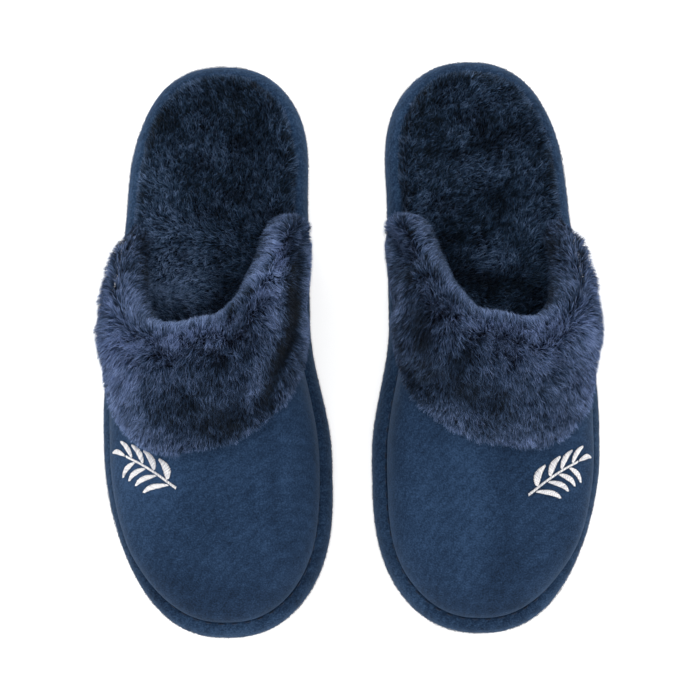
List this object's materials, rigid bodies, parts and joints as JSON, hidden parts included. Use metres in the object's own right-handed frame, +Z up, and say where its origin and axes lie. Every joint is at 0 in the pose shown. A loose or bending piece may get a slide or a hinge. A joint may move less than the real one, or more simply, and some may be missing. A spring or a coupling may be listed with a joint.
{
  "type": "scuff slippers",
  "caption": "Pair of soft open-back scuff slippers with a domed padded vamp, a turned-down fur collar and a wrapped platform sole.",
  "frame": {"origin": "on the floor, midway between the two slippers and midway between heels and toes", "axes": "+X across the pair towards the left-foot slipper, +Y from the toes to the heels, +Z up"},
  "size_m": [0.2298, 0.265, 0.0725],
  "materials": {
    "outsole_rubber": "matte",
    "eva_foam": "matte",
    "memory_foam": "matte",
    "footbed_plush": "matte",
    "rim_suede": "matte",
    "vamp_suede": "matte",
    "collar_fur": "matte",
    "navy_thread": "matte",
    "silver_thread": "satin"
  },
  "bodies": {
    "right_slipper": {"right_outsole": "outsole_rubber", "right_midsole": "eva_foam", "right_insole_foam": "memory_foam", "right_footbed": "footbed_plush", "right_sole_wrap": "rim_suede", "right_vamp_shell": "vamp_suede", "right_vamp_padding": "memory_foam", "right_vamp_lining": "footbed_plush", "right_fur_cuff": "collar_fur", "right_vamp_seam_thread": "navy_thread", "right_heel_seam_thread": "navy_thread", "right_leaf_embroidery": "silver_thread"},
    "left_slipper": {"left_outsole": "outsole_rubber", "left_midsole": "eva_foam", "left_insole_foam": "memory_foam", "left_footbed": "footbed_plush", "left_sole_wrap": "rim_suede", "left_vamp_shell": "vamp_suede", "left_vamp_padding": "memory_foam", "left_vamp_lining": "footbed_plush", "left_fur_cuff": "collar_fur", "left_vamp_seam_thread": "navy_thread", "left_heel_seam_thread": "navy_thread", "left_leaf_embroidery": "silver_thread"}
  },
  "joints": [
    {"name": "left_slipper_lift", "type": "slide", "parent": "right_slipper", "child": "left_slipper", "axis": [0, 0, 1], "range_m": [0, 0.15]}
  ]
}
